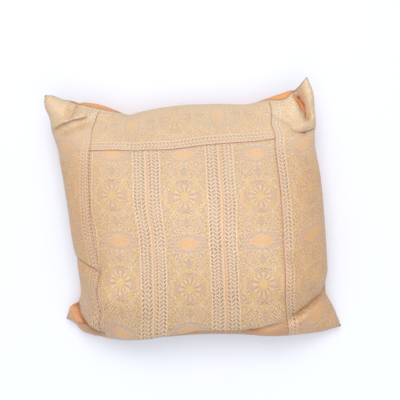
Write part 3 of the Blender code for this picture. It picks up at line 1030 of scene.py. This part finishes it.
def brocadeGroup():
    takes, gives = {"Cloth": "Vector"}, {"Colour": "Color", "Height": "Float", "Dull": "Float"}
    tree, entries, leave = shaderGroup("brocadePattern", takes, gives)
    enter = entries["Cloth"]

    # Uneven weaving moves the pattern about by part of a millimetre.
    _, driftColour = noiseWire(tree, enter, 0.045, 1.0)
    (plainX, plainY, _), (driftX, driftY, _) = partWires(tree, enter), partWires(tree, driftColour)
    clothX = plainX + (driftX - 0.5) * brocade["drift"]
    clothY = plainY + (driftY - 0.5) * brocade["drift"]
    half, tall = brocade["columnRepeat"] / 2, brocade["rowRepeat"] / 2
    x = clothX.step("WRAP", half, -half)
    y = clothY.step("WRAP", tall, -tall)
    ax, ay = abs(x), abs(y)
    toRose = tall - ay
    fromBand = x - (x.step("SIGN") * half - brocade["bandShift"])
    toLine = abs(fromBand)
    mirrored = tree.nodes.new("ShaderNodeCombineXYZ")
    tree.links.new(ax.socket, mirrored.inputs[0])
    tree.links.new(ay.socket, mirrored.inputs[1])
    fine, _ = noiseWire(tree, mirrored.outputs[0], 0.42, 1.0, 0.6)
    motley, motleyColour = noiseWire(tree, mirrored.outputs[0], 0.13, 1.0, 0.5)
    other = partWires(tree, motleyColour)[1]
    patchy, _ = noiseWire(tree, enter, 0.03, 2.0, 0.5)
    stray, _ = noiseWire(tree, enter, 0.5, 1.0, 0.5)

    colour = brocade["ground"]

    def put(tint, mask, amount=1.0):
        nonlocal colour
        colour = layer(tree, colour, brocade[tint], mask, amount)

    def spot(atX, atY, wide, high, soft=0.2):
        return (1 - distance(ax, ay, atX, atY, wide, high)).inside(soft)

    # Scrolls: arcs round a few places of each quarter of the repeat, in cream with brown between.
    nearest = distance(ax, ay, *scrolls[0])
    for place in scrolls[1:]:
        nearest = nearest.least(distance(ax, ay, *place))
    arcs = (nearest + (fine - 0.5) * 9.0 + (motley - 0.5) * 8.0).wave(brocade["scrollWidth"])
    light = (arcs * 0.8 + (fine - 0.5) * 2.6 + (stray - 0.5) * 2.2 - 0.4).inside(0.4)
    dark = (arcs * -0.8 + (fine - 0.5) * 2.6 + (stray - 0.5) * 2.2 - 0.5).inside(0.4)
    put("lilac", (0.47 - motley).inside(0.05), 0.85)
    put("gold", (other - 0.53).inside(0.04), 0.85)
    put("cream", light, 0.65)
    put("brown", dark, 0.68)
    slant = (ax * 0.8 - ay * 0.62 + (fine - 0.5) * 3 + (stray - 0.5) * 2.4).wave(brocade["slantWidth"])
    openField = (0.5 - motley + (stray - 0.5) * 0.3).inside(0.08)
    put("cream", openField * (slant - 0.3).inside(0.4), 0.45)
    put("brown", openField * (-0.4 - slant).inside(0.4), 0.35)

    # Fern hatching and a small chequer on each slant between lozenge and rosette.
    hatch = (ax * 0.7 + ay * 0.72 + (stray - 0.5) * 2.4).wave(brocade["hatchWidth"])
    fern = spot(19, 30, 9.5, 7.5)
    put("cream", fern * (hatch - 0.2).inside(0.5), 0.5)
    put("brown", fern * (-0.25 - hatch).inside(0.5), 0.5)
    chequer = ax.wave(brocade["chequerWidth"]) * ay.wave(brocade["chequerWidth"]) * 2
    dots = spot(17, 42, 8.0, 5.5)
    put("cream", dots * (chequer - 0.3).inside(0.5), 0.85)
    put("brown", dots * (-0.6 - chequer).inside(0.5), 0.5)

    for atX, atY, wide, high, tint, amount in buds:
        put(tint, spot(atX, atY, wide, high), amount)
    put("grey", spot(0, 30, 5.6, 10.0, 0.15), 0.9)
    put("cream", (0.16 - abs(distance(ax, ay, 0, 30, 5.6, 10.0) - 1.0)).inside(0.1), 0.25)
    put("brown", (0.1 - abs(distance(ax, ay, 0, 29, 2.6, 5.5) - 1.0)).inside(0.1), 0.4)
    put("gold", spot(0, 42, 6.4, 2.0))

    # Lilac field round each lozenge, with paler streaks, and the orange lozenge.
    field = 15.5 - (ax / 33) ** 4 * 12 - (ax / 40) * 5 - ay + (fine - 0.5) * 9 + (motley - 0.5) * 12
    put("lilac", field.inside(3.5), 0.72)
    streaks = (ay + ax * 0.12 + (stray - 0.5) * 3).wave(brocade["streakWidth"])
    put("cream", field.inside(2.5) * (streaks - 0.6).inside(0.4), 0.4)
    high = brocade["lozengeHalfHeight"]
    lens = high - (ax / brocade["lozengeHalfLength"]) ** 2 * high - ay + (stray - 0.5) * 2.0
    lozenge = lens.inside(0.8)
    put("cream", (lens + 1.0).inside(0.8), 0.5)
    put("orange", lozenge)
    put("deepOrange", lozenge * (ax - 9.5 + (fine - 0.5) * 8).inside(3.0), 0.7)
    put("pink", lozenge * (ax - 15.5 + (stray - 0.5) * 6).inside(1.5), 0.7)

    # Rosette: eight broad petals behind twelve narrow ones, outlined in brown round a yellow eye.
    radius = distance(ax, toRose, 0, 0)
    angle = toRose.step("ARCTAN2", ax)
    sideways = (0.34 - angle).inside(0.12)
    broad = abs((angle * (brocade["broadPetals"] / (2 * math.pi))).step("FRACT") - 0.5) * 2
    reach = brocade["broadReach"] - (1 - broad) ** 2 * 7.0 + sideways * 6.0
    behind = (reach - radius).inside(0.5) * (broad - 0.2).inside(0.1)
    put("brown", (reach + 0.8 - radius).inside(0.6), 0.5)
    put("pink", behind, 0.6)
    upright = (angle - 1.2).inside(0.1)
    put("lilac", behind * (sideways + upright * 0.7 + motley * 0.5 - 0.3).inside(0.2), 0.5)
    hooks = (radius - 17.5).inside(1.5) * (0.22 - abs(angle - 0.72)).inside(0.12) * (24 - radius).inside(1.5)
    put("gold", hooks * (stray + motley - 0.7).inside(0.2), 0.85)
    narrow = 1 - abs((angle * (brocade["narrowPetals"] / (2 * math.pi)) + 0.5).step("FRACT") - 0.5) * 2
    tip = brocade["narrowReach"] - (1 - narrow) ** 2 * 6.0 + (fine - 0.5) * 5
    put("brown", (tip + 0.8 - radius).inside(0.6) * (0.22 - narrow).inside(0.14), 0.65)
    put("cream", (tip - radius).inside(0.8) * (narrow - 0.42).inside(0.2), 0.42)
    put("gold", (12.5 - radius).inside(4.0) * (narrow - 0.4).inside(0.2), 0.5)
    put("brown", (0.5 - abs(radius - 7.8)).inside(0.5), 0.25)
    put("gold", (brocade["eyeRadius"] - radius).inside(1.2))
    put("orange", (5.0 - radius).inside(2.5), 0.5)
    bracket = 2.3 - abs(ax - 29.5 + toRose**2 * 0.02)
    put("orange", bracket.inside(0.8) * (8.5 - toRose).inside(2.0), 0.8)

    # Border of the band, then its pale ground, the plain orange line and the rows of slanting dashes.
    width = brocade["bandHalfWidth"]
    border = toLine - width - 3.0 + y.wave(17.5) * 0.7 + (fine - 0.5) * 3
    put("gold", (1.6 - abs(border)).inside(0.8), 0.35)
    put("brown", (0.5 - abs(border - 2.0)).inside(0.5), 0.3)
    put("bandPale", (width + 1.6 - toLine).inside(0.5), 0.8)
    onBand = (width - toLine).inside(0.6)
    put("bandGround", onBand)
    pitch, gap = brocade["dashPitch"], brocade["dashColumns"]
    column = (toLine - 2.3) / gap
    inColumn = (column.step("FRACT") - 0.5) * gap
    which = column.step("FLOOR")
    # The slant turns over at each rosette and lozenge, a little later from one row of dashes to the next.
    turning = ((clothY + which * 7 + x.step("SIGN") * 3).wave(brocade["rowRepeat"]) * 8).least(1.0).most(-1.0)
    lean = (which * math.pi).step("COSINE") * turning
    dash = ((clothY + lean * inColumn * brocade["dashSlant"]) / pitch).step("FRACT") - 0.5
    fromEnd = brocade["dashHalfLength"] - abs(inColumn)
    dashMask = (brocade["dashHalfWidth"] - abs(dash) * pitch).inside(0.4) * fromEnd.inside(0.4)
    inBand = (width - toLine).inside(0.3) * (toLine - 2.6).inside(0.2)
    fainter = 1 - (1.0 - abs(which - 1) * 2).inside(0.4) * 0.25
    dashMask = dashMask * inBand * fainter
    put("cream", (abs(dash) * pitch - 1.8).inside(0.4) * fromEnd.inside(0.5) * inBand, 0.8)
    put("dash", dashMask * (0.9 + (patchy - 0.5) * 1.4 + (stray - 0.5) * 0.7))
    put("pink", onBand * (stray - 0.55).inside(0.1), 0.35)
    line = abs(fromBand - brocade["bandShift"])
    put("bandPale", (2.6 - line).inside(0.3), 0.8)
    put("line", (1.2 + patchy * 1.2 - line).inside(0.4))

    # Single threads that come up light or dark, as they do all over woven cloth.
    stitch, _ = noiseWire(tree, enter, 0.95, 1.0, 0.5)
    put("cream", (stitch - 0.56).inside(0.07), 0.55)
    put("brown", (0.44 - stitch).inside(0.07), 0.45)

    height = light * 0.5 + behind * 0.5 + lens.inside(0.5) * 0.7 - dashMask * 0.8 - dark * 0.3
    tree.links.new(colour, leave["Colour"])
    tree.links.new(height.socket, leave["Height"])
    tree.links.new((dark * 0.4 + dashMask * 0.6).socket, leave["Dull"])
    return tree


def weaveGroup():
    # Warp and weft threads, with thick and thin places, for both cloths.
    takes, gives = {"Cloth": "Vector", "Thread": "Float"}, {"Height": "Float", "Shade": "Float"}
    tree, enter, leave = shaderGroup("wovenThreads", takes, gives)
    thread = wire(tree, enter["Thread"])
    warp, weft = ((way / thread * math.pi).step("SINE") for way in partWires(tree, enter["Cloth"])[:2])
    over = (warp * weft * 3).step("SINE")
    slub, _ = noiseWire(tree, enter["Cloth"], 0.6, 3.0, 0.6)
    height = abs(warp) * 0.5 + abs(weft) * 0.5 + over * 0.25 + (slub - 0.5) * 1.2
    tree.links.new(height.socket, leave["Height"])
    tree.links.new((0.5 + over * 0.25 + (slub - 0.5) * 1.4).socket, leave["Shade"])
    return tree


def clothMaterial(name, weave, finish):
    # The nodes that both cloths start from: the cloth's own map in millimetres, threads and a bump.
    material, tree, shader = newMaterial(name)
    clothMap = tree.nodes.new("ShaderNodeUVMap")
    clothMap.uv_map = "cloth"
    scale = tree.nodes.new("ShaderNodeVectorMath")
    scale.operation = "SCALE"
    scale.inputs["Scale"].default_value = 1 / mm
    tree.links.new(clothMap.outputs[0], scale.inputs[0])
    threads = tree.nodes.new("ShaderNodeGroup")
    threads.node_tree = weave
    threads.inputs["Thread"].default_value = finish["thread"]
    tree.links.new(scale.outputs[0], threads.inputs["Cloth"])
    bump = tree.nodes.new("ShaderNodeBump")
    bump.inputs["Strength"].default_value = finish["bump"]
    bump.inputs["Distance"].default_value = finish["bumpHeight"] * mm
    tree.links.new(bump.outputs[0], shader.inputs["Normal"])
    shader.inputs["Sheen Weight"].default_value = finish["sheen"]
    shader.inputs["Sheen Roughness"].default_value = finish["sheenRough"]
    shader.inputs["Sheen Tint"].default_value = finish["sheenTint"]
    shader.inputs["Specular IOR Level"].default_value = finish["specular"]
    return material, tree, shader, scale.outputs[0], threads, bump


def attributeWire(tree, name):
    node = tree.nodes.new("ShaderNodeAttribute")
    node.attribute_name = name
    return wire(tree, node.outputs["Fac"])


brocadeFinish = {
    "thread": 0.45,
    "bump": 0.5,
    "bumpHeight": 0.4,
    "sheen": 0.15,
    "sheenRough": 0.45,
    "sheenTint": (1, 0.93, 0.84, 1),
    "specular": 0.85,
    "rough": 0.4,
    "dye": (0.93, 0.785, 0.615, 1),
    # The next two are painted light on the upper part; the two after them are painted shade on the flanks and
    # on the roll below the bottom fold.
    "paintedTopLight": paint(248, 240, 226),
    "paintedUpperLight": paint(222, 216, 210),
    "paintedFlankShade": paint(212, 160, 102),
    "rolled": paint(184, 124, 76),
    "seamShade": paint(170, 84, 62),
    "threadShade": paint(196, 158, 122),
    "worn": paint(214, 180, 146),
    "creaseShade": paint(150, 96, 62),
    "rimShade": paint(150, 112, 84),
}
backFinish = {
    "thread": 0.35,
    "bump": 0.35,
    "bumpHeight": 0.4,
    "sheen": 0.2,
    "sheenRough": 0.45,
    "sheenTint": (1, 0.8, 0.62, 1),
    "specular": 0.4,
    "rough": 0.45,
    "orange": paint(240, 172, 112),
    "deep": paint(226, 140, 84),
    "shade": paint(150, 78, 44),
    "rimShade": paint(196, 112, 70),
}


def brocadeMaterial(weave):
    material, tree, shader, cloth, threads, bump = clothMaterial("brocade", weave, brocadeFinish)
    pattern = tree.nodes.new("ShaderNodeGroup")
    pattern.node_tree = brocadeGroup()
    tree.links.new(cloth, pattern.inputs["Cloth"])
    shade = wire(tree, threads.outputs["Shade"])
    place = tree.nodes.new("ShaderNodeTexCoord").outputs["Object"]
    worn, _ = noiseWire(tree, place, 9.0, 3.0, 0.55)
    broken, _ = noiseWire(tree, place, 160.0, 2.0, 0.6)
    across, up, _ = partWires(tree, place)
    groove, creaseShadeMask, fromRim, lower, turned = (
        attributeWire(tree, name) for name in ("groove", "creaseShadeMask", "fromRim", "paintedRollShadeArea", "turnedBack")
    )
    # Handling has worn the cloth in wide patches. The upper part is painted greyer and paler as painted light,
    # the flanks are painted deeper as painted shade, and shade is painted in the lap grooves, the creases and
    # along the rim.
    colour = pattern.outputs["Colour"]
    for tint, mask, amount in (
        ("threadShade", (0.55 - shade).inside(0.5), 0.16),
        ("worn", (worn - 0.5).inside(0.14), 0.16),
        # painted light: the upper part of the cushion greyer, and its top paler
        ("paintedUpperLight", (up - 0.02).inside(0.17), 0.2),
        ("paintedTopLight", (up - 0.15).inside(0.09), 0.42),
        # painted shade: the flanks deeper in colour
        ("paintedFlankShade", (abs(across) - 0.17).inside(0.06) * (0.11 - up).inside(0.06), 0.3),
        ("seamShade", groove * (0.45 + broken * 0.7), 0.8),
        ("creaseShade", creaseShadeMask, 0.6),
        ("rimShade", (1.6 - fromRim).inside(0.9), 0.45),
    ):
        colour = layer(tree, colour, brocadeFinish[tint], mask, amount)
    rich = tree.nodes.new("ShaderNodeMix")
    rich.data_type, rich.blend_type = "RGBA", "MULTIPLY"
    rich.inputs[0].default_value = 1
    rich.inputs[7].default_value = brocadeFinish["dye"]
    tree.links.new(colour, rich.inputs[6])
    # Painted shade on the roll of cloth below the bottom fold, then the orange back cloth where it rolls round
    # to the front, with painted shade in its creases and the seam's dark line beside it.
    colour = rich.outputs[2]
    for tint, mask, amount in (
        (brocadeFinish["rolled"], (lower - 0.5).inside(1.5), 0.5),
        (backFinish["orange"], turned.inside(0.5), 1.0),
        (backFinish["deep"], turned.inside(0.5) * (worn - 0.45).inside(0.1), 0.4),
        (backFinish["shade"], turned.inside(0.5) * creaseShadeMask, 0.45),
        (brocadeFinish["seamShade"], (0.9 - abs(turned)).inside(0.5), 0.5),
    ):
        colour = layer(tree, colour, tint, mask, amount)
    tree.links.new(colour, shader.inputs["Base Color"])
    rough = wire(tree, pattern.outputs["Dull"]) * 0.15 + brocadeFinish["rough"] + (shade - 0.5) * 0.1
    tree.links.new(rough.socket, shader.inputs["Roughness"])
    height = wire(tree, pattern.outputs["Height"]) * 0.7 + wire(tree, threads.outputs["Height"]) * 0.35
    tree.links.new(height.socket, bump.inputs["Height"])
    return material


def backMaterial(weave):
    material, tree, shader, _, threads, bump = clothMaterial("backCloth", weave, backFinish)
    shade = wire(tree, threads.outputs["Shade"])
    place = tree.nodes.new("ShaderNodeTexCoord").outputs["Object"]
    worn, _ = noiseWire(tree, place, 12.0, 3.0, 0.55)
    colour = layer(tree, backFinish["orange"], backFinish["deep"], (worn - 0.5).inside(0.2), 0.35)
    colour = layer(tree, colour, backFinish["deep"], (0.5 - shade).inside(0.4), 0.3)
    fromRim = attributeWire(tree, "fromRim")
    colour = layer(tree, colour, backFinish["rimShade"], (1.8 - fromRim).inside(1.0), 0.5)
    tree.links.new(colour, shader.inputs["Base Color"])
    tree.links.new((backFinish["rough"] + (shade - 0.5) * 0.12).socket, shader.inputs["Roughness"])
    tree.links.new(threads.outputs["Height"], bump.inputs["Height"])
    return material


# Floor, light and camera. Lights and the floor are in metres, the camera's target is in millimetres.
studio = {
    "floor": paint(217, 221, 231),
    "floorRadius": 6,
    "floorRough": 0.8,
    "air": (1.0, 1.0, 1.0),
    "floorGlow": 0.25,
    "airStrength": 0.58,
    "keyFrom": (-0.15, 1.15, 2.7),
    "keySize": 1.9,
    "keyPower": 36,
    "keyColour": (1, 0.98, 0.95),
    "fillFrom": (0.1, -0.9, 2.8),
    "fillSize": 2.6,
    "fillPower": 27,
    "fillColour": (0.97, 0.98, 1),
    "cameraTarget": (13, 15, 60),
    "cameraAway": 1.7,
    "cameraTurn": 0,
    "cameraRise": 86,
    "lens": 85,
    "sensorWidth": 36,
}


def studioLight(which):
    light = bpy.data.lights.new(which + "Light", "AREA")
    light.shape = "DISK"
    light.size = studio[which + "Size"]
    light.energy = studio[which + "Power"]
    light.color = studio[which + "Colour"]
    lamp = addObject(light.name, light)
    lamp.location = studio[which + "From"]
    lamp.rotation_euler = (-lamp.location).to_track_quat("-Z", "Y").to_euler()
    return lamp


def buildStudio(middle):
    scene = bpy.context.scene
    floorMesh = bpy.data.meshes.new("floor")
    disc = bmesh.new()
    bmesh.ops.create_circle(disc, cap_ends=True, segments=96, radius=studio["floorRadius"])
    disc.to_mesh(floorMesh)
    disc.free()
    floor = addObject("floor", floorMesh)
    material, tree, shader = newMaterial("paleFloor")
    shader.inputs["Base Color"].default_value = studio["floor"]
    shader.inputs["Roughness"].default_value = studio["floorRough"]
    shader.inputs["Emission Color"].default_value = studio["floor"]
    # The floor is brighter to the eye alone, so that it doesn't light the cushion from below.
    lightPath = tree.nodes.new("ShaderNodeLightPath")
    glow = wire(tree, lightPath.outputs["Is Camera Ray"]) * studio["floorGlow"]
    tree.links.new(glow.socket, shader.inputs["Emission Strength"])
    floorMesh.materials.append(material)
    key, fill = studioLight("key"), studioLight("fill")
    world = bpy.data.worlds.new("studioAir")
    scene.world = world
    world.use_nodes = True
    air = world.node_tree.nodes["Background"]
    air.inputs["Color"].default_value = (*studio["air"], 1)
    air.inputs["Strength"].default_value = studio["airStrength"]
    scene.view_settings.view_transform = "Standard"

    camera = addObject("camera", bpy.data.cameras.new("camera"))
    camera.data.lens = studio["lens"]
    camera.data.sensor_width = studio["sensorWidth"]
    target = (Vector(studio["cameraTarget"]) - Vector((middle[0], middle[1], 0))) * mm
    turn, rise = math.radians(studio["cameraTurn"]), math.radians(studio["cameraRise"])
    back = Vector((-math.cos(rise) * math.sin(turn), -math.cos(rise) * math.cos(turn), math.sin(rise)))
    camera.location = target + back * studio["cameraAway"]
    camera.rotation_euler = (-back).to_track_quat("-Z", "Y").to_euler()
    scene.camera = camera


cushionCover, middle, front = buildCover()
weave = weaveGroup()
cushionCover.data.materials.append(brocadeMaterial(weave))
cushionCover.data.materials.append(backMaterial(weave))
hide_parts("cushion")
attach(cushionCover, "root")
print("cover: dressed")

rimStitches = buildStitches(front)
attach(rimStitches, "root")

buildStudio(middle)
print("studio: ready")
